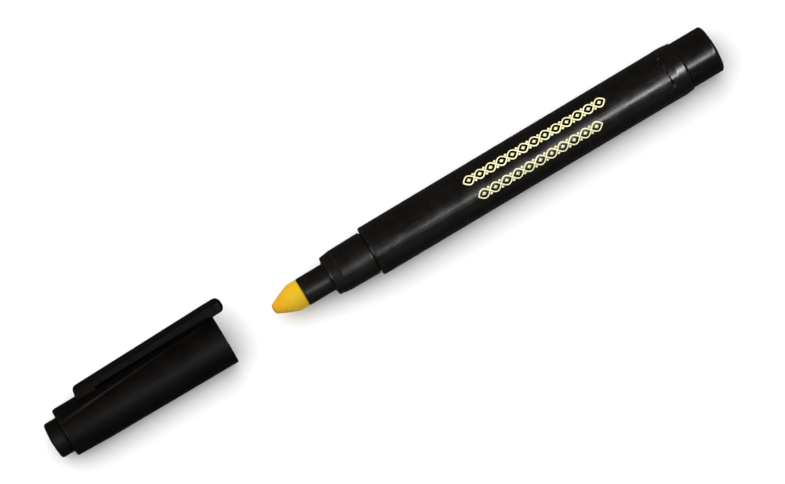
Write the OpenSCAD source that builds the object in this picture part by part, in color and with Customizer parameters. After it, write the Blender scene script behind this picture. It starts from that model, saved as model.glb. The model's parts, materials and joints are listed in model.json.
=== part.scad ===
// Money checking marker: a fibre-tip pen with its cap pulled off in line with it.
// The pen lies along +X with its tip towards -X. All stations are measured along
// that axis: pen stations from the barrel's front shoulder, positive towards the tail,
// and cap stations from the cap's closed end, positive towards its mouth.

/* [Barrel] */
// Length of the barrel, front shoulder to rear face
barrel_len = 82; // [78:0.5:90]
// Outer diameter of the barrel at its front shoulder
barrel_front_d = 12.1; // [12:0.05:12.2]
// Outer diameter of the barrel just ahead of its end ring
barrel_rear_d = 12.3; // [12.2:0.05:12.4]
// Outer diameter of the raised ring at the rear of the barrel
end_ring_d = 12.4; // [12.4:0.05:12.6]
// Diameter of the barrel's main bore
barrel_bore_d = 9.8; // [9.4:0.1:10]
// Number of ribs inside the barrel that hold the reservoir
rib_count = 4; // [3:1:8]

/* [Front section] */
// Length of the seat that the cap pushes onto
seat_len = 10.9; // [10.4:0.1:11.4]
// Diameter of the seat at its front edge
seat_front_d = 9.5; // [9.2:0.1:9.8]
// Diameter of the seat where it meets the barrel
seat_rear_d = 10.44; // [10.3:0.02:10.46]
// Diameter of the slim nib holder ahead of the seat
holder_d = 6.75; // [6.6:0.05:7]
// Length of the slim nib holder
holder_len = 7; // [6:0.1:7.4]

/* [Nib] */
// Greatest diameter of the fibre nib
nib_d = 6.7; // [6.4:0.1:6.8]
// Length of the nib that shows, tip to holder
nib_len = 7.6; // [6.8:0.1:8]
// Diameter of the nib's hidden stem
stem_d = 5.2; // [4.6:0.1:5.4]

/* [Reservoir] */
// Outer diameter of the film wrap around the ink reservoir
wrap_d = 8.44; // [8.2:0.02:8.5]
// Thickness of the film wrap
wrap_t = 0.12; // [0.1:0.01:0.2]

/* [Tail plug] */
// Diameter of the plug that shows behind the barrel
plug_d = 11.4; // [11:0.1:11.6]
// Length of the plug's straight side behind the barrel
plug_side_len = 7.3; // [5:0.1:8]
// Rise of the rounded edge and dome of the plug
plug_dome = 1.3; // [1.2:0.1:1.8]

/* [Cap] */
// Length of the cap, closed end to mouth
cap_len = 45.4; // [45:0.1:48]
// Outer diameter of the cap at its mouth
cap_mouth_d = 12.04; // [12:0.02:12.1]
// Outer diameter of the cap at its closed shoulder
cap_rear_d = 11.2; // [11:0.1:11.6]
// Diameter of the end plug that shows behind the cap's shoulder
end_plug_d = 8.7; // [8.4:0.1:9]
// Length of the end plug that shows
end_plug_len = 3.6; // [3:0.1:4.2]
// Radial clearance between the cap and the seat
seat_clearance = 0.1; // [0.06:0.02:0.12]
// Distance the cap stands from its closed position
cap_off = 38; // [30:1:60]

/* [Clip] */
// Width of the clip at its root
clip_root_w = 5.2; // [4.6:0.1:5.6]
// Width of the clip at its nose
clip_nose_w = 4.4; // [3.8:0.1:4.8]
// Distance from the cap's axis to the clip's outer face at the root
clip_root_r = 8.05; // [8:0.05:8.4]
// Distance from the cap's axis to the clip's outer face at the nose
clip_nose_r = 9.05; // [8.8:0.05:9.4]
// Thickness of the clip's arm where it leaves the root
clip_root_t = 1.4; // [1.2:0.05:1.5]
// Thickness of the clip's arm ahead of its nose
clip_nose_t = 1.9; // [1.5:0.05:2]
// Length of the clip's nose beyond the cap's mouth
clip_overhang = 3.3; // [3:0.1:4]
// Angle of the clip above the horizontal plane
clip_roll = 22; // [0:1:30]

/* [Hidden] */
$fn = 96;
black = [0.07, 0.065, 0.06];
amber = [0.89, 0.70, 0.13];
natural = [0.86, 0.84, 0.78];

// Barrel
edge_r = 0.35;
front_socket_d = 10.2;
front_socket_len = 9.2;
rear_socket_d = 10.3;
rear_socket_len = 8;
end_ring_len = 1.7;
end_ring_from_rear = 2.4;
end_taper_d = 11.9;
rib_w = 0.8;
rib_start = 11;
rib_end = barrel_len - 10;
rib_clearance = 0.08;

// Front section
groove_len = 0.4;
groove_d = seat_rear_d - 0.7;
seat_blend_len = 2.6;
seat_blend_d = seat_rear_d - 0.26;
seat_edge_r = 0.55;
step = -seat_len;
holder_front = step - holder_len;
spigot_len = 9;
spigot_lead = 0.4;
bead_h = 0.03;
bead_len = 0.8;
bead_from_shoulder = 3;
stem_clearance = 0.05;
reservoir_front = 2;
vent_count = 3;
vent_w = 0.7;
vent_r = 3.05;

// Nib
nib_tip = holder_front - nib_len;
nib_widest = 0.7 * nib_len;
nib_tip_r = 1.5;
nib_flank = 22.5;
nib_base_d = nib_d - 0.2;
stem_end = 6.5;

// Reservoir
reservoir_rear = barrel_len - 11.7;
pocket_clearance = 0.05;

// Tail plug
plug_edge_r = 0.7;
plug_bore_d = 8;
plug_bore_end = 2.5;
fin_t = 1;
fin_count = 2;

// Cap
cap_edge_r = 0.5;
cap_waist_at = 12;
cap_waist_d = 11.72;
mouth_chamfer = 0.3;
cap_bore_d = seat_rear_d + 2 * seat_clearance;
closed_gap = 0.1;
cup_d = 9.5;
cup_bore_d = 7.8;
cup_floor = 1.2;
cup_start = 15.2;
cup_rim = cap_len - seat_len - 0.05;
end_plug_spigot_d = 7.8;
end_plug_spigot_len = 7.4;
end_plug_wall = 1;
end_plug_edge_r = 0.5;
end_plug_dome = 0.25;

// Spine: the raised plinth under the clip
spine_rear_r = 6.22;
spine_mouth_r = 6.12;
spine_rear_w = 9.1;
spine_mouth_w = 3.4;
spine_chamfer = 0.8;

// Clip
clip_start = 9.8;
clip_root_len = 4.6;
clip_foot_r = 6.5;
clip_bead_r = 6.45;
clip_bead_len = 5.2;
clip_bead_blend = 1.8;
knuckle_r = 1;
knuckle_clearance = 0.05;
knuckle_at = clip_start + clip_root_len / 2;
knuckle_height = 5.95;
clip_end = cap_len + clip_overhang;
nose_r = 1.2;
nose_corner_r = 1.3;

// Places of the two halves on the common axis
cap_start = -cap_off - closed_gap - cap_len;
tail_end = barrel_len + plug_side_len + plug_dome;
middle = (cap_start + tail_end) / 2;
axis_z = end_ring_d / 2;
clip_reach = clip_nose_r * cos(clip_roll) + clip_nose_w / 2 * sin(clip_roll);
axis_y = -(clip_reach - axis_z) / 2;

// Points of an arc about (x, y) from angle a to angle b
function arc(x, y, r, a, b, steps = 8) =
    [for (i = [0:steps]) let (t = a + (b - a) * i / steps) [x + r * cos(t), y + r * sin(t)]];

// Radius to the clip's outer face at a cap station
function clip_r(s) =
    clip_root_r + (clip_nose_r - clip_root_r) * (s - clip_start) / (cap_len - clip_start);

// Lays a body of revolution along the pen's axis, from a pen station
module on_pen(station = 0) {
    translate([station - middle, axis_y, axis_z]) rotate([0, 90, 0]) children();
}

// The same for the cap, from a cap station
module on_cap(station = 0) {
    on_pen(cap_start + station) children();
}

// Puts a shape drawn with X along the cap and Y out through the clip in its place
module at_clip() {
    translate([cap_start - middle, axis_y, axis_z]) rotate([clip_roll, 0, 0]) children();
}

module revolve(points) {
    rotate_extrude() polygon(points);
}

module barrel_rib() {
    inner_r = wrap_d / 2 + rib_clearance;
    translate([inner_r, -rib_w / 2, rib_start])
        cube([barrel_bore_d / 2 + 0.2 - inner_r, rib_w, rib_end - rib_start]);
}

module barrel() {
    ring_rear = barrel_len - end_ring_from_rear;
    ring_front = ring_rear - end_ring_len;
    color(black) on_pen() {
        revolve(concat(
            [[front_socket_d / 2, 0]],
            arc(barrel_front_d / 2 - edge_r, edge_r, edge_r, -90, 0),
            [
                [barrel_rear_d / 2, ring_front - 0.3],
                [end_ring_d / 2, ring_front],
                [end_ring_d / 2, ring_rear]
            ],
            arc(end_taper_d / 2 - edge_r, barrel_len - edge_r, edge_r, 0, 90),
            [
                [rear_socket_d / 2, barrel_len],
                [rear_socket_d / 2, barrel_len - rear_socket_len],
                [barrel_bore_d / 2, barrel_len - rear_socket_len],
                [barrel_bore_d / 2, front_socket_len],
                [front_socket_d / 2, front_socket_len]
            ]
        ));
        for (i = [0:rib_count - 1]) rotate(i * 360 / rib_count) barrel_rib();
    }
}

module front_section_body() {
    spigot_r = front_socket_d / 2;
    bore_r = stem_d / 2 + stem_clearance;
    reservoir_r = wrap_d / 2 + rib_clearance;
    revolve(concat(
        [[bore_r, holder_front]],
        arc(holder_d / 2 - edge_r, holder_front + edge_r, edge_r, -90, 0),
        [[holder_d / 2, step - 0.15]],
        arc(seat_front_d / 2 - seat_edge_r, step + seat_edge_r, seat_edge_r, -90, 0),
        [
            [seat_blend_d / 2, step + seat_blend_len],
            [seat_rear_d / 2, -groove_len],
            [groove_d / 2, -groove_len],
            [groove_d / 2, 0],
            [spigot_r, 0],
            [spigot_r, spigot_len - spigot_lead],
            [spigot_r - spigot_lead / 2, spigot_len],
            [reservoir_r, spigot_len],
            [reservoir_r, reservoir_front - 0.2],
            [bore_r, reservoir_front - 0.2]
        ]
    ));
    translate([0, 0, bead_from_shoulder]) difference() {
        cylinder(r = spigot_r + bead_h, h = bead_len);
        translate([0, 0, -1]) cylinder(r = spigot_r - 0.3, h = bead_len + 2);
    }
}

module front_section() {
    vent_len = reservoir_front - holder_front;
    color(black) on_pen() difference() {
        front_section_body();
        for (i = [0:vent_count - 1])
            rotate(60 + i * 360 / vent_count) translate([0, -vent_w / 2, holder_front - 1])
                cube([vent_r, vent_w, vent_len + 1]);
    }
}

module nib() {
    color(amber) on_pen() revolve(concat(
        arc(0, nib_tip + nib_tip_r, nib_tip_r, -90, -nib_flank, 10),
        [
            [nib_d / 2, nib_tip + nib_widest],
            [nib_d / 2, holder_front - 1],
            [nib_base_d / 2, holder_front],
            [stem_d / 2, holder_front],
            [stem_d / 2, stem_end - 1],
            [stem_d / 2 - 1, stem_end],
            [0, stem_end]
        ]
    ));
}

module ink_reservoir() {
    outer_r = wrap_d / 2 - wrap_t;
    pocket_r = stem_d / 2 + pocket_clearance;
    color(natural) on_pen() revolve([
        [pocket_r, reservoir_front],
        [outer_r, reservoir_front],
        [outer_r, reservoir_rear],
        [0, reservoir_rear],
        [0, stem_end + pocket_clearance],
        [pocket_r, stem_end + pocket_clearance]
    ]);
}

module reservoir_wrap() {
    color("white") on_pen(reservoir_front) difference() {
        cylinder(d = wrap_d, h = reservoir_rear - reservoir_front);
        translate([0, 0, -1])
            cylinder(d = wrap_d - 2 * wrap_t, h = reservoir_rear - reservoir_front + 2);
    }
}

module tail_plug_body() {
    side_end = barrel_len + plug_side_len;
    rim_r = plug_d / 2 - plug_edge_r;
    revolve(concat(
        [
            [plug_bore_d / 2, barrel_len - rear_socket_len],
            [rear_socket_d / 2 - 0.2, barrel_len - rear_socket_len],
            [rear_socket_d / 2, barrel_len - rear_socket_len + spigot_lead],
            [rear_socket_d / 2, barrel_len],
            [plug_d / 2, barrel_len]
        ],
        arc(rim_r, side_end, plug_edge_r, 0, 75),
        [
            [rim_r * 0.55, tail_end - 0.12],
            [0, tail_end],
            [0, barrel_len + plug_bore_end],
            [plug_bore_d / 2, barrel_len + plug_bore_end]
        ]
    ));
}

module tail_plug() {
    fin_len = barrel_len + plug_bore_end - reservoir_rear;
    color(black) on_pen() {
        tail_plug_body();
        for (i = [0:fin_count - 1])
            rotate(45 + i * 180 / fin_count)
                translate([-plug_bore_d / 2 - 0.1, -fin_t / 2, reservoir_rear + 0.1])
                    cube([plug_bore_d + 0.2, fin_t, fin_len]);
    }
}

// Outer form of the cap: a tapered body with the spine down one side
module cap_outer() {
    on_cap() revolve(concat(
        [[0, end_plug_len]],
        arc(cap_rear_d / 2 - cap_edge_r, end_plug_len + cap_edge_r, cap_edge_r, -90, 0),
        [
            [cap_waist_d / 2, cap_waist_at],
            [cap_mouth_d / 2, cap_len],
            [0, cap_len]
        ]
    ));
    intersection() {
        on_cap() revolve([
            [0, end_plug_len],
            [spine_rear_r - spine_chamfer / 2, end_plug_len],
            [spine_rear_r, end_plug_len + spine_chamfer],
            [spine_mouth_r, cap_len],
            [0, cap_len]
        ]);
        at_clip() rotate([-90, 0, 0]) linear_extrude(height = spine_rear_r + 1) polygon([
            [end_plug_len, -spine_rear_w / 2],
            [cap_len, -spine_mouth_w / 2],
            [cap_len, spine_mouth_w / 2],
            [end_plug_len, spine_rear_w / 2]
        ]);
    }
}

// Bores of the cap, from the end plug's socket to the mouth
module cap_inner() {
    on_cap() revolve([
        [0, end_plug_len - 1],
        [end_plug_spigot_d / 2, end_plug_len - 1],
        [end_plug_spigot_d / 2, cup_start],
        [cup_d / 2, cup_start],
        [cup_d / 2, cup_rim],
        [cap_bore_d / 2, cup_rim],
        [cap_bore_d / 2, cap_len - mouth_chamfer],
        [cap_bore_d / 2 + mouth_chamfer, cap_len],
        [cap_bore_d / 2 + mouth_chamfer, cap_len + 1],
        [0, cap_len + 1]
    ]);
}

// The round foot of the clip, which its flexing turns about
module clip_knuckle(clearance = 0) {
    translate([knuckle_at, knuckle_height, -clip_root_w / 2 - clearance])
        cylinder(r = knuckle_r + clearance, h = clip_root_w + 2 * clearance);
}

module cap_shell() {
    color(black) difference() {
        cap_outer();
        cap_inner();
        at_clip() clip_knuckle(knuckle_clearance);
    }
}

module cap_end_plug() {
    head_r = end_plug_d / 2;
    spigot_end = end_plug_len + end_plug_spigot_len;
    bore_r = end_plug_spigot_d / 2 - end_plug_wall;
    color(black) on_cap() revolve(concat(
        [[0, 0]],
        [[(head_r - end_plug_edge_r) * 0.6, end_plug_dome * 0.4]],
        arc(head_r - end_plug_edge_r, end_plug_dome + end_plug_edge_r, end_plug_edge_r, -90, 0),
        [
            [head_r, end_plug_len],
            [end_plug_spigot_d / 2, end_plug_len],
            [end_plug_spigot_d / 2, spigot_end - spigot_lead],
            [end_plug_spigot_d / 2 - 0.2, spigot_end],
            [bore_r, spigot_end],
            [bore_r, end_plug_len],
            [0, end_plug_len]
        ]
    ));
}

module cap_seal_cup() {
    color(natural) on_cap() revolve([
        [0, cup_start],
        [cup_d / 2, cup_start],
        [cup_d / 2, cup_rim],
        [cup_bore_d / 2 + 0.4, cup_rim],
        [cup_bore_d / 2, cup_rim - 0.4],
        [cup_bore_d / 2, cup_start + cup_floor],
        [0, cup_start + cup_floor]
    ]);
}

// Side view of the clip: root, arm, and a nose with a bead on its inner side
module clip_side() {
    arm_start = clip_start + clip_root_len;
    bead_start = clip_end - clip_bead_len;
    polygon(concat(
        [[arm_start, clip_foot_r], [clip_start, clip_foot_r]],
        arc(clip_start + nose_r + 0.2, clip_r(clip_start) - nose_r, nose_r, 180, 90),
        arc(clip_end - nose_r, clip_nose_r - nose_r, nose_r, 90, 0),
        arc(clip_end - nose_r, clip_bead_r + nose_r, nose_r, 0, -90),
        [
            [bead_start + clip_bead_blend, clip_bead_r],
            [bead_start, clip_r(bead_start) - clip_nose_t],
            [arm_start + 0.5, clip_r(arm_start) - clip_root_t]
        ]
    ));
}

// The clip seen from outside: its root, the tapering arm and the rounded nose
module clip_outline() {
    corner_x = clip_end - nose_corner_r;
    corner_y = clip_nose_w / 2 - nose_corner_r;
    polygon(concat(
        [
            [clip_start - 1, -clip_root_w / 2],
            [clip_start + clip_root_len, -clip_root_w / 2]
        ],
        arc(corner_x, -corner_y, nose_corner_r, -90, 0),
        arc(corner_x, corner_y, nose_corner_r, 0, 90),
        [
            [clip_start + clip_root_len, clip_root_w / 2],
            [clip_start - 1, clip_root_w / 2]
        ]
    ));
}

module pocket_clip() {
    color(black) at_clip() {
        intersection() {
            translate([0, 0, -clip_root_w]) linear_extrude(height = 2 * clip_root_w) clip_side();
            rotate([-90, 0, 0]) linear_extrude(height = clip_nose_r + 1) clip_outline();
        }
        intersection() {
            clip_knuckle();
            translate([knuckle_at - knuckle_r, 0, -clip_root_w / 2])
                cube([2 * knuckle_r, clip_foot_r + 0.2, clip_root_w]);
        }
    }
}

barrel();
front_section();
nib();
ink_reservoir();
reservoir_wrap();
tail_plug();
cap_shell();
cap_end_plug();
cap_seal_cup();
pocket_clip();
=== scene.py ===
import json
import math

import bpy
import numpy as np
from mathutils import Matrix, Vector


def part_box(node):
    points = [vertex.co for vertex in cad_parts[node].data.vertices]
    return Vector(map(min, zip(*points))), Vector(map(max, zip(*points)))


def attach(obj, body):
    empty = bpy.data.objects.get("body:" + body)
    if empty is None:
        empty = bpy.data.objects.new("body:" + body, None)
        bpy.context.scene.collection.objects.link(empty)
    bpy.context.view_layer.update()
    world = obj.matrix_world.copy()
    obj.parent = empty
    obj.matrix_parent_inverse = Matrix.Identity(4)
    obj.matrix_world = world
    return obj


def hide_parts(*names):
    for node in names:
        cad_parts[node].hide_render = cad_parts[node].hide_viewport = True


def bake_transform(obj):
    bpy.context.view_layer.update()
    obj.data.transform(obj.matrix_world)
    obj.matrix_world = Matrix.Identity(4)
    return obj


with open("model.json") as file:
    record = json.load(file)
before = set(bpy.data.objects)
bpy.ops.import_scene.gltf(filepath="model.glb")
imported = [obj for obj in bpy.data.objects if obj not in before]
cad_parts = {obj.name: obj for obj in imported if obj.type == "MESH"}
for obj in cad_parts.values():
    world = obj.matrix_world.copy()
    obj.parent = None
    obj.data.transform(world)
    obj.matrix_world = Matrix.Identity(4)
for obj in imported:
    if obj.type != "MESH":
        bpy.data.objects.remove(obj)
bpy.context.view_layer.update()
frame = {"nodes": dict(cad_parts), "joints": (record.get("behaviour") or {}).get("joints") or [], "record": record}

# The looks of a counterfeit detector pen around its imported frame. Stations along the pen and radii
# are in millimetres, and to_row() turns them into the row's metres.

MM = 0.001
AROUND = 160  # divisions around a turned piece
ARC = 6  # divisions of a rounded corner
WEAR_REACH = 0.35  # how far rubbing reaches from an edge, mm
FILLET_SHARE = 0.45  # the most of a side that one fillet takes
STRAIGHT = math.radians(178)  # a corner that is flatter than this gets no fillet
QUARTER = math.pi / 2

# ---------------------------------------------------------------- the frame's places

axis_at = Vector(frame["record"]["mounts"][0]["pos_m"])  # a point on the pen's axis
clip_joint = next(j for j in frame["joints"] if j["name"] == "clip_flex")
clip_roll = math.atan2(-clip_joint["axis"][1], clip_joint["axis"][2])

barrel_lo, barrel_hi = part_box("barrel")
section_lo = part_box("front_section")[0]
nib_lo, nib_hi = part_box("nib")
plug_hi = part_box("tail_plug")[1]
shell_lo, shell_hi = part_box("cap_shell")
end_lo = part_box("cap_end_plug")[0]
cup_lo, cup_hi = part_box("cap_seal_cup")
clip_lo, clip_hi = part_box("pocket_clip")

SHOULDER = barrel_lo.x  # pen stations start at the barrel's front shoulder
CLOSED_END = end_lo.x  # cap stations start at the cap's closed end

barrel_len = (barrel_hi.x - SHOULDER) / MM
tail_len = (plug_hi.x - SHOULDER) / MM
nib_tip = (nib_lo.x - SHOULDER) / MM
holder_front = (section_lo.x - SHOULDER) / MM
cap_len = (shell_hi.x - CLOSED_END) / MM
cap_shoulder = (shell_lo.x - CLOSED_END) / MM
cup_start = (cup_lo.x - CLOSED_END) / MM
cup_rim = (cup_hi.x - CLOSED_END) / MM
clip_start = (clip_lo.x - CLOSED_END) / MM
clip_end = (clip_hi.x - CLOSED_END) / MM
ring_r = axis_at.z / MM  # the pen lies on its end ring


def to_row(origin_x, station, radius, angle):
    """A point at a station and radius, turned by an angle from the clip side towards the top."""
    return Vector((
        origin_x + station * MM,
        axis_at.y + radius * MM * math.cos(angle),
        axis_at.z + radius * MM * math.sin(angle),
    ))


# ---------------------------------------------------------------- mesh making


def add_mesh(name, points, faces, wear=None):
    """An object with smooth faces and, where given, how much each point is rubbed."""
    mesh = bpy.data.meshes.new(name)
    mesh.from_pydata([tuple(p) for p in points], [], faces)
    mesh.validate()
    mesh.shade_smooth()
    if wear is not None:
        layer = mesh.attributes.new("wear", "FLOAT", "POINT")
        layer.data.foreach_set("value", np.asarray(wear, np.float32))
    piece = bpy.data.objects.new(name, mesh)
    bpy.context.scene.collection.objects.link(piece)
    piece.modifiers.new("face_weights", "WEIGHTED_NORMAL").keep_sharp = True
    return piece


def fillet_arc(middle, radius, first, last):
    """The points (station, radius, wear) of an arc about its middle, from first to last."""
    start = math.atan2(*(first - middle)[::-1])
    end = math.atan2(*(last - middle)[::-1])
    sweep = (end - start + math.pi) % (2 * math.pi) - math.pi
    out = []
    for k in range(ARC + 1):
        angle = start + sweep * k / ARC
        at = middle + radius * np.array([math.cos(angle), math.sin(angle)])
        out.append((*at, math.sin(math.pi * (k + 0.5) / (ARC + 1)) ** 0.5))
    return out


def beside_fillet(end, way, room):
    """The unworn point a little beyond a fillet's end."""
    return (*(end + way * min(WEAR_REACH, 0.5 * room)), 0.0)


def rounded(corners, closed):
    """The points (station, radius, wear) of an outline whose corners are (station, radius, fillet)."""
    count = len(corners)
    out = []
    for i, (x, y, fillet) in enumerate(corners):
        here = np.array([x, y], float)
        if not closed and i in (0, count - 1):
            out.append((x, y, 0.0))
            continue
        before = np.array(corners[i - 1][:2], float) - here
        after = np.array(corners[(i + 1) % count][:2], float) - here
        len_before, len_after = np.linalg.norm(before), np.linalg.norm(after)
        before, after = before / len_before, after / len_after
        turn = math.acos(float(np.clip(before @ after, -1, 1)))
        if fillet <= 0 or turn > STRAIGHT:
            out.append((x, y, 0.0))
            continue
        back = min(fillet / math.tan(turn / 2), FILLET_SHARE * min(len_before, len_after))
        radius = back * math.tan(turn / 2)
        inwards = (before + after) / np.linalg.norm(before + after)
        middle = here + inwards * radius / math.sin(turn / 2)
        first, last = here + before * back, here + after * back
        out.append(beside_fillet(first, before, len_before - back))
        out.extend(fillet_arc(middle, radius, first, last))
        out.append(beside_fillet(last, after, len_after - back))
    return out


def turned(name, origin_x, corners, closed=False, around=AROUND, swell=None):
    """A piece turned about the pen's axis. swell(station, angle) adds to a point's radius."""
    outline = rounded(corners, closed)
    points, wear, rings = [], [], []
    for station, radius, rub in outline:
        if radius <= 1e-6:
            rings.append([len(points)])
            points.append(to_row(origin_x, station, 0, 0))
            wear.append(rub)
            continue
        rings.append(list(range(len(points), len(points) + around)))
        for k in range(around):
            angle = 2 * math.pi * k / around
            extra = swell(station, angle) if swell else 0
            points.append(to_row(origin_x, station, radius + extra, angle))
            wear.append(rub)
    faces = []
    pairs = list(zip(rings, rings[1:]))
    if closed:
        pairs.append((rings[-1], rings[0]))
    for a, b in pairs:
        for k in range(around):
            n = (k + 1) % around
            if len(a) == 1 and len(b) == 1:
                continue
            if len(a) == 1:
                faces.append((a[0], b[k], b[n]))
            elif len(b) == 1:
                faces.append((a[n], a[k], b[0]))
            else:
                faces.append((a[n], a[k], b[k], b[n]))
    return outward(add_mesh(name, points, faces, wear))


def outward(piece):
    """Turns a closed mesh's faces so that they look outwards."""
    mesh = piece.data
    co = np.array([v.co for v in mesh.vertices])
    volume = 0.0
    for face in mesh.polygons:
        corner = co[list(face.vertices)]
        for i in range(1, len(corner) - 1):
            volume += np.dot(corner[0], np.cross(corner[i], corner[i + 1]))
    if volume < 0:
        mesh.flip_normals()
    return piece


def finish_piece(piece, body, slot, material, *nodes):
    """Gives a piece its material and its body, and hides the CAD nodes that it stands for."""
    piece.data.materials.clear()
    piece.data.materials.append(material)
    if body:
        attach(piece, body)
    if nodes:
        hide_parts(*nodes)
    return piece


# ---------------------------------------------------------------- materials


def node(tree, kind, inputs=None, **settings):
    made = tree.nodes.new(kind)
    for key, value in settings.items():
        setattr(made, key, value)
    for key, value in (inputs or {}).items():
        if isinstance(value, bpy.types.NodeSocket):
            tree.links.new(value, made.inputs[key])
        else:
            made.inputs[key].default_value = value
    return made


def new_material(name):
    material = bpy.data.materials.new(name)
    material.use_nodes = True
    tree = material.node_tree
    tree.nodes.clear()
    shader = node(tree, "ShaderNodeBsdfPrincipled")
    out = node(tree, "ShaderNodeOutputMaterial")
    tree.links.new(shader.outputs["BSDF"], out.inputs["Surface"])
    return material, tree, shader


def noise(tree, coords, scale, detail=3.0, stretch=(1, 1, 1), roughness=0.55):
    """Noise of a given scale, stretched along the row's axes."""
    mapped = node(tree, "ShaderNodeMapping", {"Vector": coords, "Scale": stretch})
    return node(tree, "ShaderNodeTexNoise", {
        "Vector": mapped.outputs["Vector"], "Scale": scale, "Detail": detail, "Roughness": roughness,
    }).outputs["Fac"]


def remap(tree, value, low, high, to_low, to_high):
    return node(tree, "ShaderNodeMapRange", {
        "Value": value, "From Min": low, "From Max": high, "To Min": to_low, "To Max": to_high,
    }).outputs["Result"]


def math_node(tree, operation, a, b):
    return node(tree, "ShaderNodeMath", {0: a, 1: b}, operation=operation).outputs["Value"]


def mix(tree, factor, a, b):
    made = tree.nodes.new("ShaderNodeMix")
    made.data_type = "RGBA"
    for socket, value in ((made.inputs[0], factor), (made.inputs[6], a), (made.inputs[7], b)):
        if isinstance(value, bpy.types.NodeSocket):
            tree.links.new(value, socket)
        else:
            socket.default_value = value
    return made.outputs[2]


def black_plastic(name, roughness, tint=(0.0030, 0.0023, 0.0017), scratch=1.0, specular=0.5):
    """Moulded black polypropylene: draw lines along the pen, an uneven sheen, and rubbed edges."""
    material, tree, shader = new_material(name)
    coords = node(tree, "ShaderNodeTexCoord").outputs["Object"]
    wear = node(tree, "ShaderNodeAttribute", attribute_name="wear").outputs["Fac"]
    cloud = noise(tree, coords, 260.0, 3.0)
    lines = noise(tree, coords, 900.0, 2.0, stretch=(0.02, 1, 1))
    grain = noise(tree, coords, 5200.0, 2.0)
    hairs = noise(tree, coords, 2600.0, 1.0, stretch=(0.035, 1, 1), roughness=0.4)
    base = tuple(tint) + (1,)
    worn = tuple(2.6 * c for c in tint) + (1,)
    dull = mix(tree, remap(tree, cloud, 0.35, 0.7, 0, 1), base, tuple(1.5 * c for c in tint) + (1,))
    colour = mix(tree, math_node(tree, "MULTIPLY", wear, 0.7), dull, worn)
    tree.links.new(colour, shader.inputs["Base Color"])
    rough = remap(tree, cloud, 0.3, 0.75, roughness - 0.05, roughness + 0.07)
    hair_rough = remap(tree, hairs, 0.60, 0.72, 0, 0.08 * scratch)
    rough = math_node(tree, "ADD", rough, hair_rough)
    rough = math_node(tree, "SUBTRACT", rough, math_node(tree, "MULTIPLY", wear, 0.07))
    tree.links.new(rough, shader.inputs["Roughness"])
    first = node(tree, "ShaderNodeBump", {"Height": lines, "Strength": 0.05, "Distance": 0.00004})
    second = node(tree, "ShaderNodeBump", {
        "Height": grain, "Strength": 0.08, "Distance": 0.00002, "Normal": first.outputs["Normal"],
    })
    tree.links.new(second.outputs["Normal"], shader.inputs["Normal"])
    shader.inputs["Specular IOR Level"].default_value = specular
    shader.inputs["IOR"].default_value = 1.49
    return material


def nib_fibre_material():
    """Amber fibre soaked with test fluid, darker and more orange at the tip, with painted shade that makes the +Y
    side darker and more orange.
    """
    material, tree, shader = new_material("nib_fibre")
    coords = node(tree, "ShaderNodeTexCoord").outputs["Object"]
    place = node(tree, "ShaderNodeSeparateXYZ", {"Vector": coords}).outputs
    tip = remap(tree, place["X"], nib_lo.x, nib_lo.x + 6 * MM, 0.9, -0.1)
    # painted shade: side shifts the nib's +Y side darker and more orange, as if that side faced away from the
    # light
    side = remap(tree, place["Y"], nib_lo.y, nib_hi.y, -0.3, 0.3)
    tip = math_node(tree, "ADD", tip, side)
    fibres = noise(tree, coords, 5200.0, 3.0, stretch=(0.10, 1, 1))
    blotches = noise(tree, coords, 420.0, 3.0)
    mottled = math_node(tree, "ADD", tip, remap(tree, blotches, 0.3, 0.7, -0.25, 0.25))
    colour = mix(tree, mottled, (0.62, 0.41, 0.008, 1), (0.65, 0.29, 0.005, 1))
    colour = mix(tree, remap(tree, fibres, 0.35, 0.75, 0, 0.45), colour, (0.50, 0.27, 0.004, 1))
    tree.links.new(colour, shader.inputs["Base Color"])
    tree.links.new(remap(tree, fibres, 0.3, 0.7, 0.62, 0.85), shader.inputs["Roughness"])
    bump = node(tree, "ShaderNodeBump", {"Height": fibres, "Strength": 0.35, "Distance": 0.00006})
    tree.links.new(bump.outputs["Normal"], shader.inputs["Normal"])
    shader.inputs["Subsurface Weight"].default_value = 0.25
    shader.inputs["Subsurface Radius"].default_value = (1.0, 0.5, 0.1)
    shader.inputs["Subsurface Scale"].default_value = 0.6 * MM
    shader.inputs["Specular IOR Level"].default_value = 0.25
    return material


def soft_plastic(name, colour, roughness):
    """Natural polyethylene or film: pale, waxy, faintly cloudy."""
    material, tree, shader = new_material(name)
    coords = node(tree, "ShaderNodeTexCoord").outputs["Object"]
    cloud = noise(tree, coords, 300.0, 3.0)
    lines = noise(tree, coords, 1600.0, 2.0, stretch=(0.05, 1, 1))
    darker = tuple(0.8 * c for c in colour) + (1,)
    tree.links.new(mix(tree, cloud, tuple(colour) + (1,), darker), shader.inputs["Base Color"])
    rough = remap(tree, lines, 0.3, 0.7, roughness - 0.08, roughness + 0.08)
    tree.links.new(rough, shader.inputs["Roughness"])
    bump = node(tree, "ShaderNodeBump", {"Height": lines, "Strength": 0.15, "Distance": 0.00003})
    tree.links.new(bump.outputs["Normal"], shader.inputs["Normal"])
    shader.inputs["Subsurface Weight"].default_value = 0.2
    shader.inputs["Subsurface Scale"].default_value = 1.0 * MM
    return material


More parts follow.
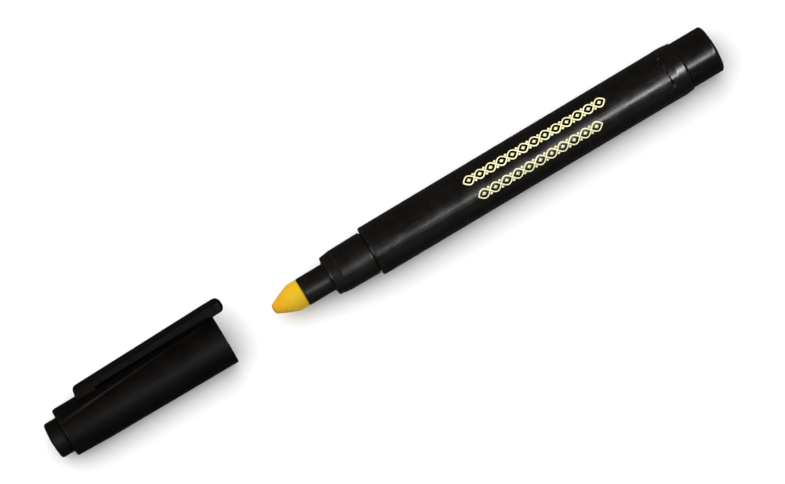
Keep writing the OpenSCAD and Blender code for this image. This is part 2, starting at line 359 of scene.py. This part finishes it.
def fibre_rod_material():
    """The reservoir's bundled fibre, soaked with fluid."""
    material, tree, shader = new_material("reservoir_fibre")
    coords = node(tree, "ShaderNodeTexCoord").outputs["Object"]
    strands = noise(tree, coords, 3000.0, 4.0, stretch=(0.04, 1, 1))
    soak = noise(tree, coords, 90.0, 2.0, stretch=(0.5, 1, 1))
    colour = mix(tree, strands, (0.62, 0.40, 0.13, 1), (0.85, 0.66, 0.34, 1))
    colour = mix(tree, remap(tree, soak, 0.35, 0.65, 0, 0.5), colour, (0.55, 0.30, 0.05, 1))
    tree.links.new(colour, shader.inputs["Base Color"])
    tree.links.new(remap(tree, strands, 0.3, 0.7, 0.7, 0.95), shader.inputs["Roughness"])
    bump = node(tree, "ShaderNodeBump", {"Height": strands, "Strength": 0.5, "Distance": 0.0001})
    tree.links.new(bump.outputs["Normal"], shader.inputs["Normal"])
    return material


def ink_material():
    """Cream printing ink: thin in places, a little worn."""
    material, tree, shader = new_material("cream_ink")
    coords = node(tree, "ShaderNodeTexCoord").outputs["Object"]
    patch = noise(tree, coords, 2200.0, 3.0)
    cloud = noise(tree, coords, 350.0, 2.0)
    fresh, aged, plastic = (0.93, 0.90, 0.56, 1), (0.80, 0.74, 0.42, 1), (0.20, 0.18, 0.10, 1)
    colour = mix(tree, remap(tree, cloud, 0.3, 0.7, 0, 1), fresh, aged)
    colour = mix(tree, remap(tree, patch, 0.62, 0.74, 0, 0.55), colour, plastic)
    tree.links.new(colour, shader.inputs["Base Color"])
    tree.links.new(remap(tree, patch, 0.3, 0.7, 0.42, 0.6), shader.inputs["Roughness"])
    bump = node(tree, "ShaderNodeBump", {"Height": patch, "Strength": 0.2, "Distance": 0.00001})
    tree.links.new(bump.outputs["Normal"], shader.inputs["Normal"])
    return material


# ---------------------------------------------------------------- the pen

barrel_plastic = black_plastic("barrel_plastic", 0.25)
section_plastic = black_plastic("section_plastic", 0.30)
plug_plastic = black_plastic("plug_plastic", 0.24, specular=0.32)
cap_plastic = black_plastic("cap_plastic", 0.44, tint=(0.0016, 0.0012, 0.0009), scratch=1.4, specular=0.13)
end_plug_plastic = black_plastic("end_plug_plastic", 0.44, tint=(0.0018, 0.0014, 0.0010), specular=0.18)
clip_plastic = black_plastic("clip_plastic", 0.42, tint=(0.0014, 0.0011, 0.0008), specular=0.08)

barrel_front_r = 6.05
barrel_rear_r = 6.15
end_r = 5.95
bore_r = 4.9
front_socket_r = 5.1
front_socket_len = 9.2
rear_socket_r = 5.15
rear_socket_len = 8
taper_len = barrel_len - 4.4
ring_foot = barrel_len - 4.6  # where the tube's taper meets the step up to its end ring
ring_front = barrel_len - 4.1
ring_rear = barrel_len - 2.4


def barrel_r(station):
    """The barrel's outer radius, ahead of its end ring."""
    return barrel_front_r + (barrel_rear_r - barrel_front_r) * station / taper_len


def make_barrel():
    socket_floor = barrel_len - rear_socket_len
    piece = turned("barrel_tube", SHOULDER, [
        (0, front_socket_r, 0.1),
        (0, barrel_front_r, 0.35),
        (ring_foot, barrel_r(ring_foot), 0.6),
        (ring_front, ring_r, 0.3),
        (ring_rear, ring_r, 0.5),
        (barrel_len - 0.25, end_r, 0.25),
        (barrel_len, end_r - 0.3, 0.15),
        (barrel_len, rear_socket_r, 0),
        (socket_floor, rear_socket_r, 0),
        (socket_floor, bore_r, 0),
        (front_socket_len, bore_r, 0),
        (front_socket_len, front_socket_r, 0),
    ], closed=True)
    return finish_piece(piece, "pen", "barrel_plastic", barrel_plastic, "barrel")


def make_section():
    stem_bore = 2.65
    holder_r = 3.375
    seat_front = -10.85
    seat_taper_end = -8.3
    groove_front = -0.4  # a groove parts the seat from the barrel's shoulder
    groove_r = 4.87
    spigot_end = 9
    spigot_bore = 4.3
    spigot_floor = 1.8
    piece = turned("front_section_body", SHOULDER, [
        (holder_front, stem_bore, 0),
        (holder_front, holder_r, 0.3),
        (seat_front - 0.3, holder_r, 0.12),
        (seat_front - 0.05, 4.0, 0),
        (seat_front, 4.72, 0.6),
        (seat_taper_end, 5.1, 2.5),
        (groove_front, 5.22, 0.12),
        (groove_front, groove_r, 0),
        (0, groove_r, 0),
        (0, front_socket_r, 0),
        (spigot_end - 0.4, front_socket_r, 0),
        (spigot_end, front_socket_r - 0.2, 0),
        (spigot_end, spigot_bore, 0),
        (spigot_floor, spigot_bore, 0),
        (spigot_floor, stem_bore, 0),
    ], closed=True)
    return finish_piece(piece, "pen", "section_plastic", section_plastic, "front_section")


def make_nib():
    stem_r = 2.6
    rng = np.random.default_rng(7)
    ridges = [(int(rng.integers(24, 90)), rng.uniform(0, 6.28), rng.uniform(0.3, 1)) for _ in range(10)]

    def pleats(station, angle):
        fade = min(1, max(0, (station - nib_tip) / 1.5))
        wave = sum(a * math.sin(n * angle + p) for n, p, a in ridges) / 6
        return 0.02 * fade * wave - 0.015

    piece = turned("nib_fibre_tip", SHOULDER, [
        (nib_tip, 0, 0),
        (nib_tip, 0.62, 0.6),
        (nib_tip + 0.26, 1.2, 1.2),
        (nib_tip + 2, 2.02, 0),
        (nib_tip + 3.5, 2.66, 0),
        (nib_tip + 5.3, 3.36, 2.2),
        (holder_front - 0.25, 3.3, 0.15),
        (holder_front, 3.12, 0),
        (holder_front, stem_r, 0),
        (5.5, stem_r, 0),
        (6.5, 1.6, 0),
        (6.5, 0, 0),
    ], around=240, swell=pleats)
    return finish_piece(piece, "pen", "nib_fibre", nib_fibre_material(), "nib")


def make_tail_plug():
    head_r = 5.7
    hollow_r = 4
    side_end = tail_len - 1.3
    fin_end = barrel_len - rear_socket_len
    piece = turned("tail_plug_body", SHOULDER, [
        (tail_len - 0.12, 0, 0),
        (tail_len - 0.12, 0.55, 0.05),
        (tail_len, 0.75, 0.1),
        (tail_len - 0.14, 2.75, 2),
        (side_end + 0.8, 4.95, 0.6),
        (side_end + 0.35, head_r, 0.5),
        (barrel_len + 0.06, head_r, 0.06),
        (barrel_len + 0.06, rear_socket_r, 0),
        (fin_end, rear_socket_r - 0.1, 0.2),
        (fin_end, hollow_r, 0),
        (barrel_len + 2.5, hollow_r, 0),
        (barrel_len + 2.5, 0, 0),
    ])
    return finish_piece(piece, "pen", "plug_plastic", plug_plastic, "tail_plug")


# ---------------------------------------------------------------- the cap

cap_rear_r = 5.6
cap_waist_r = 5.86
cap_waist_at = 12
cap_mouth_r = 6.02
spine_rear_r = 6.22
spine_mouth_r = 6.12
spine_rear_w = 4.55
spine_mouth_w = 1.7
cap_bore_r = 5.32
cup_r = 4.75
spigot_r = 3.9


def along(station, rear, mouth):
    """A value that runs evenly from the cap's shoulder to its mouth."""
    return rear + (mouth - rear) * (station - cap_shoulder) / (cap_len - cap_shoulder)


def cap_r(station):
    """The cap's outer radius beside the spine: a steep taper, then a slight one."""
    if station < cap_waist_at:
        widening = cap_waist_r - cap_rear_r
        return cap_rear_r + widening * (station - cap_shoulder) / (cap_waist_at - cap_shoulder)
    widening = cap_mouth_r - cap_waist_r
    return cap_waist_r + widening * (station - cap_waist_at) / (cap_len - cap_waist_at)


def spine_shares():
    """Columns around the cap from the clip's line to the far side: (share of the way, of which stretch)."""
    top = [("top", k / 14) for k in range(15)]
    edge = [("edge", k / 8) for k in range(1, 9)]
    back = [("back", k / 44) for k in range(1, 45)]
    half = top + edge + back
    return [(s, t, 1) for s, t in half] + [(s, t, -1) for s, t in half[-2:0:-1]]


def spine_column(column, station):
    """(angle from the clip's line, share of the spine's height) of a column at a station."""
    stretch, share, side = column
    crest = along(station, spine_rear_r, spine_mouth_r)
    ramp = 0.42
    wide = along(station, spine_rear_w, spine_mouth_w)
    inner = math.asin((wide - ramp * 0.4) / crest)
    outer = math.asin((wide + ramp * 0.6) / crest)
    if stretch == "top":
        angle, height = inner * share, 1.0
    elif stretch == "edge":
        angle = inner + (outer - inner) * share
        height = 0.5 + 0.5 * math.cos(math.pi * share)
    else:
        angle, height = outer + (math.pi - outer) * share, 0.0
    return side * angle, height


def make_cap_shell():
    columns = spine_shares()
    path = []  # (station, rule): a rule gives the radius from the outer radius there
    for k in range(ARC + 3):
        angle = QUARTER * k / (ARC + 2)
        path.append(("shoulder", angle, math.sin(2 * angle) ** 0.5 if 0 < k < ARC + 2 else 0.2))
    for station in (5, 7, 9, 10.5, 11.5, 12.5, 13.5, 15, 20, 26, 32, 38, 43, cap_len - 0.8, cap_len - 0.4):
        path.append(("side", station, 0.0))
    for k in range(ARC + 1):
        path.append(("mouth", QUARTER * k / ARC, 0.9))
    inside = [
        (cap_len, cap_bore_r + 0.3, 0.4),
        (cap_len - 0.3, cap_bore_r, 0.4),
        (cap_len - 1.0, cap_bore_r, 0.0),
        (cup_rim, cap_bore_r, 0.0),
        (cup_rim, cup_r, 0.0),
        (cup_start, cup_r, 0.0),
        (cup_start, spigot_r, 0.0),
        (cap_shoulder, spigot_r, 0.0),
    ]
    points, wear = [], []
    for kind, value, rub in path:
        for column in columns:
            if kind == "shoulder":
                station = cap_shoulder + 0.5
                angle, height = spine_column(column, station)
                full = cap_r(station)
                full += (along(station, spine_rear_r, spine_mouth_r) - full) * height
                reach = 0.5 + 0.35 * height
                station = cap_shoulder + reach * (1 - math.cos(value))
                radius = full - 0.5 * (1 - math.sin(value))
            elif kind == "side":
                station = value
                angle, height = spine_column(column, station)
                full = cap_r(station)
                radius = full + (along(station, spine_rear_r, spine_mouth_r) - full) * height
            else:
                lip = 0.16
                station = cap_len - lip * (1 - math.sin(value))
                angle, height = spine_column(column, cap_len)
                full = cap_mouth_r + (spine_mouth_r - cap_mouth_r) * height
                radius = full - lip * (1 - math.cos(value))
            edge = 0.9 * math.sin(math.pi * column[1]) if column[0] == "edge" and column[1] < 0.5 else 0
            points.append(to_row(CLOSED_END, station, radius, angle + clip_roll))
            wear.append(max(rub, edge))
    for station, radius, rub in inside:
        for column in columns:
            angle, _ = spine_column(column, cap_len)
            points.append(to_row(CLOSED_END, station, radius, angle + clip_roll))
            wear.append(rub)
    count = len(columns)
    rows = len(path) + len(inside)
    faces = []
    for i in range(rows):
        for k in range(count):
            n, j = (k + 1) % count, (i + 1) % rows
            faces.append((i * count + n, i * count + k, j * count + k, j * count + n))
    piece = outward(add_mesh("cap_shell_body", points, faces, wear))
    return finish_piece(piece, "cap", "cap_plastic", cap_plastic, "cap_shell")


def make_cap_end():
    head_r = 4.35
    piece = turned("cap_end_button", CLOSED_END, [
        (0.1, 0, 0),
        (0.1, 0.5, 0.05),
        (0, 0.65, 0.06),
        (0.12, 2.4, 3),
        (0.28, 3.75, 1),
        (0.6, head_r, 0.45),
        (cap_shoulder - 0.03, head_r, 0.05),
        (cap_shoulder - 0.03, spigot_r, 0),
        (cap_shoulder + 7.2, spigot_r, 0.1),
        (cap_shoulder + 7.4, 2.9, 0),
        (cap_shoulder, 2.9, 0),
        (cap_shoulder, 0, 0),
    ])
    return finish_piece(piece, "cap", "end_plug_plastic", end_plug_plastic, "cap_end_plug")


def make_seal_cup():
    cup_bore_r = 3.9
    piece = turned("seal_cup_liner", CLOSED_END, [
        (cup_start, 0, 0),
        (cup_start, cup_r, 0.1),
        (cup_rim, cup_r, 0.1),
        (cup_rim, cup_bore_r + 0.35, 0.15),
        (cup_rim - 0.4, cup_bore_r, 0.2),
        (cup_start + 1.2, cup_bore_r, 0.5),
        (cup_start + 1.2, 0, 0),
    ])
    material = soft_plastic("seal_plastic", (0.72, 0.70, 0.63), 0.5)
    return finish_piece(piece, "cap", "seal_plastic", material, "cap_seal_cup")


clip_root_w = 2.6
clip_nose_w = 2.2
clip_root_r = 8.05
clip_nose_r = 9.05
clip_root_t = 1.4
clip_nose_t = 2.05
root_len = 4.6
bead_r = 6.45
bead_len = 5.2
bead_blend = 1.8
nose_round = 1.2
nose_corner = 1.5


def clip_face(station):
    """Radius to the clip's outer face."""
    reach = (station - clip_start) / (cap_len - clip_start)
    return min(clip_nose_r, clip_root_r + (clip_nose_r - clip_root_r) * reach)


def clip_stations():
    """Pairs of points (outer, inner) along the clip, from its buried root to its nose."""
    buried = 5.9
    bend = 1.3
    front = clip_start + root_len
    bead_start = clip_end - bead_len
    pairs = [((clip_start - 0.1, buried), (front + 0.5, buried))]
    pairs.append(((clip_start, buried + 0.5), (front + 0.25, buried + 0.45)))
    pairs.append(((clip_start + 0.05, buried + 0.8), (front + 0.2, buried + 0.6)))
    top = clip_face(clip_start + bend)
    under = clip_face(front) - clip_root_t
    for k in range(8):
        a = math.pi / 2 * k / 7
        outer = (clip_start + 0.1 + bend * (1 - math.cos(a)), top - bend * (1 - math.sin(a)))
        low = buried + 0.62
        inner = (front + 0.22 + 0.7 * (1 - math.cos(a)), low + (under - low) * math.sin(a))
        pairs.append((outer, inner))
    lead = clip_start + 0.1 + bend
    inner_lead = front + 0.92
    for k in range(1, 13):
        share = k / 12
        outer_x = lead + (bead_start - lead) * share
        inner_x = inner_lead + (bead_start - inner_lead) * share
        thick = clip_root_t + (clip_nose_t - clip_root_t) * share
        pairs.append(((outer_x, clip_face(outer_x)), (inner_x, clip_face(inner_x) - thick)))
    bead_top = clip_face(bead_start) - clip_nose_t
    last = clip_end - nose_round
    for k in range(1, 11):
        share = k / 10
        x = bead_start + (last - bead_start) * share
        dip = 0.5 - 0.5 * math.cos(math.pi * min(1, (x - bead_start) / bead_blend))
        pairs.append(((x, clip_face(x)), (x, bead_top + (bead_r - bead_top) * dip)))
    for k in range(1, 11):
        a = math.pi / 2 * k / 10.001
        x = last + nose_round * math.sin(a)
        drop = nose_round * (1 - math.cos(a))
        pairs.append(((x, clip_nose_r - drop), (x, bead_r + drop)))
    return pairs


def make_clip():
    corner, ring_points = 0.38, 7
    pairs = clip_stations()
    points, wear, rings = [], [], []
    turn = Matrix.Rotation(clip_roll, 3, "X")
    centre = Vector((CLOSED_END, axis_at.y, axis_at.z))
    for outer, inner in pairs:
        outer, inner = np.array(outer), np.array(inner)
        thick = np.linalg.norm(outer - inner)
        way = (outer - inner) / max(thick, 1e-9)
        middle = (outer + inner) / 2
        station = middle[0]
        reach = (station - clip_start) / (clip_end - clip_start)
        wide = clip_root_w + (clip_nose_w - clip_root_w) * max(0, reach)
        tip = min(1, max(0, station - (clip_end - nose_corner)) / nose_corner)
        wide -= nose_corner * (1 - math.sqrt(1 - tip ** 2))
        round_r = min(corner, 0.48 * thick)
        ring = []
        for quarter in range(4):
            sign_w = (1, -1, -1, 1)[quarter]
            sign_t = (1, 1, -1, -1)[quarter]
            for k in range(ring_points):
                a = QUARTER * (quarter + k / (ring_points - 1))
                side = sign_w * (wide - round_r) + round_r * math.cos(a)
                up = sign_t * (thick / 2 - round_r) + round_r * math.sin(a)
                crown = 0.10 * (1 - (side / wide) ** 2) if up > 0 else 0
                at = middle + way * (up + crown - 0.05)
                local = Vector((at[0], at[1], side)) * MM
                ring.append(len(points))
                points.append(centre + turn @ local)
                on_edge = up > 0 and 0 < k < ring_points - 1
                wear.append(0.8 * math.sin(2 * (a % QUARTER)) ** 0.5 if on_edge else 0.1)
        rings.append(ring)
    faces = []
    for a, b in zip(rings, rings[1:]):
        for k in range(len(a)):
            n = (k + 1) % len(a)
            faces.append((a[k], a[n], b[n], b[k]))
    faces.append(tuple(rings[0]))
    faces.append(tuple(reversed(rings[-1])))
    piece = outward(add_mesh("clip_arm", points, faces, wear))
    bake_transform(piece)
    return finish_piece(piece, None, "clip_plastic", clip_plastic, "pocket_clip")


# ---------------------------------------------------------------- the print


def ribbon(points_out, faces_out, route, width, proud, closed=False):
    """Adds a thin raised ribbon that follows (station, distance around the barrel) points."""
    route = np.array(route, float)
    count = len(route)
    first = len(points_out)
    for i in range(count):
        before = route[i - 1] if closed or i else route[i]
        after = route[(i + 1) % count] if closed or i < count - 1 else route[i]
        way = after - before
        way = way / np.linalg.norm(way)
        normal = np.array([-way[1], way[0]])
        for offset, lift in ((-0.5, -0.02), (-0.42, proud), (0.42, proud), (0.5, -0.02)):
            station, around = route[i] + normal * width * offset
            radius = barrel_r(station)
            points_out.append(to_row(SHOULDER, station, radius + lift, math.pi / 2 - around / radius))
    for i in range(count if closed else count - 1):
        a, b = first + 4 * i, first + 4 * ((i + 1) % count)
        for k in range(4):
            n = (k + 1) % 4
            faces_out.append((a + k, b + k, b + n, a + n))
    if not closed:
        faces_out.append(tuple(first + k for k in (0, 1, 2, 3)))
        last = first + 4 * (count - 1)
        faces_out.append(tuple(last + k for k in (3, 2, 1, 0)))


def make_print(name, start, end, centre, material):
    """A plain guilloche: two waves that cross into a chain of eyelets, with a lozenge in each."""
    eyelets = round((end - start) / 2.85)
    pitch = (end - start) / eyelets
    height, line = 1.12, 0.34
    points, faces = [], []
    steps = eyelets * 16
    for sign, proud in ((1, 0.010), (-1, 0.014)):
        route = []
        for k in range(steps + 1):
            s = start + (end - start) * k / steps
            route.append((s, centre + sign * height * math.sin(math.pi * (s - start) / pitch)))
        ribbon(points, faces, route, line, proud)
    for k in range(eyelets):
        middle = start + pitch * (k + 0.5)
        for place, around, half_len, half_wide in (
            (middle, centre, 0.55, 0.45),
            (middle + pitch / 2, centre + 0.82, 0.42, 0.36),
            (middle + pitch / 2, centre - 0.82, 0.42, 0.36),
        ):
            if place < end - 0.2:
                fill_patch(points, faces, [
                    (place - half_len, around), (place, around + half_wide),
                    (place + half_len, around), (place, around - half_wide),
                ], 0.012)
    piece = outward(add_mesh(name, points, faces))
    return finish_piece(piece, "pen", "barrel_plastic", material)


def fill_patch(points_out, faces_out, corners, proud):
    """Adds a small flat raised patch with the given corners."""
    first, count = len(points_out), len(corners)
    for lift in (-0.02, proud):
        for station, around in corners:
            radius = barrel_r(station)
            points_out.append(to_row(SHOULDER, station, radius + lift, math.pi / 2 - around / radius))
    for k in range(count):
        n = (k + 1) % count
        faces_out.append((first + k, first + n, first + count + n, first + count + k))
    faces_out.append(tuple(first + count + k for k in range(count)))
    faces_out.append(tuple(first + k for k in reversed(range(count))))


# ---------------------------------------------------------------- camera, light and floor


def make_camera():
    pen_angle = math.radians(31.0)
    elevation = math.radians(84)
    distance = 1.2
    view_width = 0.1768
    right = Vector((math.cos(pen_angle), -math.sin(pen_angle), 0))
    ahead = Vector((math.sin(pen_angle), math.cos(pen_angle), 0))
    target = Vector((SHOULDER + 5.36 * MM, axis_at.y - 0.65 * MM, axis_at.z))
    data = bpy.data.cameras.new("camera")
    camera = bpy.data.objects.new("camera", data)
    bpy.context.scene.collection.objects.link(camera)
    data.sensor_width = 36
    data.lens = distance * data.sensor_width / view_width
    data.clip_start = 0.01
    data.clip_end = 20
    back = -ahead * math.cos(elevation) + Vector((0, 0, 1)) * math.sin(elevation)
    up = back.cross(right)
    turn = Matrix((right, up, back)).transposed().to_4x4()
    camera.matrix_world = Matrix.Translation(target + back * distance) @ turn
    bpy.context.scene.camera = camera


def area_light(name, at, target, size_x, size_y, power):
    """A rectangular light at a place, turned towards its target."""
    data = bpy.data.lights.new(name, "AREA")
    data.shape = "RECTANGLE"
    data.size, data.size_y = size_x, size_y
    data.energy = power
    light = bpy.data.objects.new(name, data)
    bpy.context.scene.collection.objects.link(light)
    aim = (Vector(target) - Vector(at)).to_track_quat("-Z", "Y").to_matrix().to_4x4()
    light.matrix_world = Matrix.Translation(at) @ aim
    return light


def make_floor():
    """A plain pale floor, which the black plastic doesn't mirror."""
    bpy.ops.mesh.primitive_plane_add(size=3.0, location=(0, 0, -0.00002))
    floor = bpy.context.object
    floor.name = "floor"
    material, tree, shader = new_material("pale_floor")
    coords = node(tree, "ShaderNodeTexCoord").outputs["Object"]
    mottle = noise(tree, coords, 6.0, 2.0)
    colour = mix(tree, mottle, (0.90, 0.90, 0.90, 1), (0.87, 0.87, 0.87, 1))
    tree.links.new(colour, shader.inputs["Base Color"])
    shader.inputs["Roughness"].default_value = 0.9
    shader.inputs["Specular IOR Level"].default_value = 0.1
    floor.data.materials.append(material)
    floor.visible_glossy = False


def make_lights():
    """A faint room, a glow from the side, strips that only reflections show, and an overhead light
    that they don't show."""
    world = bpy.data.worlds.new("studio")
    bpy.context.scene.world = world
    world.use_nodes = True
    background = world.node_tree.nodes["Background"]
    background.inputs["Color"].default_value = (1, 1, 1, 1)
    background.inputs["Strength"].default_value = 0.05
    tail = Vector((barrel_hi.x, axis_at.y, axis_at.z))
    lean = math.radians(20.5)
    height = 0.75
    at = tail + Vector((0.245, -height * math.tan(lean), height))
    strips = [area_light("key_strip", at, tail + Vector((-0.02, 0, 0)), 0.42, 0.13, 5.4)]
    for name, x in (("front_strip", -0.85), ("rear_strip", 0.95)):
        strips.append(area_light(name, (x, -0.15, 0.85), (0, 0, 0), 0.7, 0.45, 6.0))
    for strip in strips:
        strip.visible_diffuse = False
    area_light("side_glow", (-0.1, -0.9, 0.45), (0, 0, 0.05), 1.4, 0.9, 0.35)
    overhead = area_light("overhead", (-0.2, 0.35, 1.3), (0, 0, 0), 2.2, 2.2, 46.0)
    overhead.visible_glossy = False
    bpy.context.scene.view_settings.view_transform = "Standard"


# ---------------------------------------------------------------- putting it together

make_barrel()
make_section()
make_nib()
make_tail_plug()
make_cap_shell()
make_cap_end()
make_seal_cup()
make_clip()
cream = ink_material()
make_print("print_row_upper", 25.5, 62.5, 2.0, cream)
make_print("print_row_lower", 26.9, 59.3, -2.5, cream)

for name, material in (
    ("ink_reservoir", fibre_rod_material()),
    ("reservoir_wrap", soft_plastic("wrap_film", (0.80, 0.78, 0.70), 0.25)),
):
    cad_piece = frame["nodes"][name]
    for place in cad_piece.material_slots:
        place.material = material

make_camera()
make_floor()
make_lights()
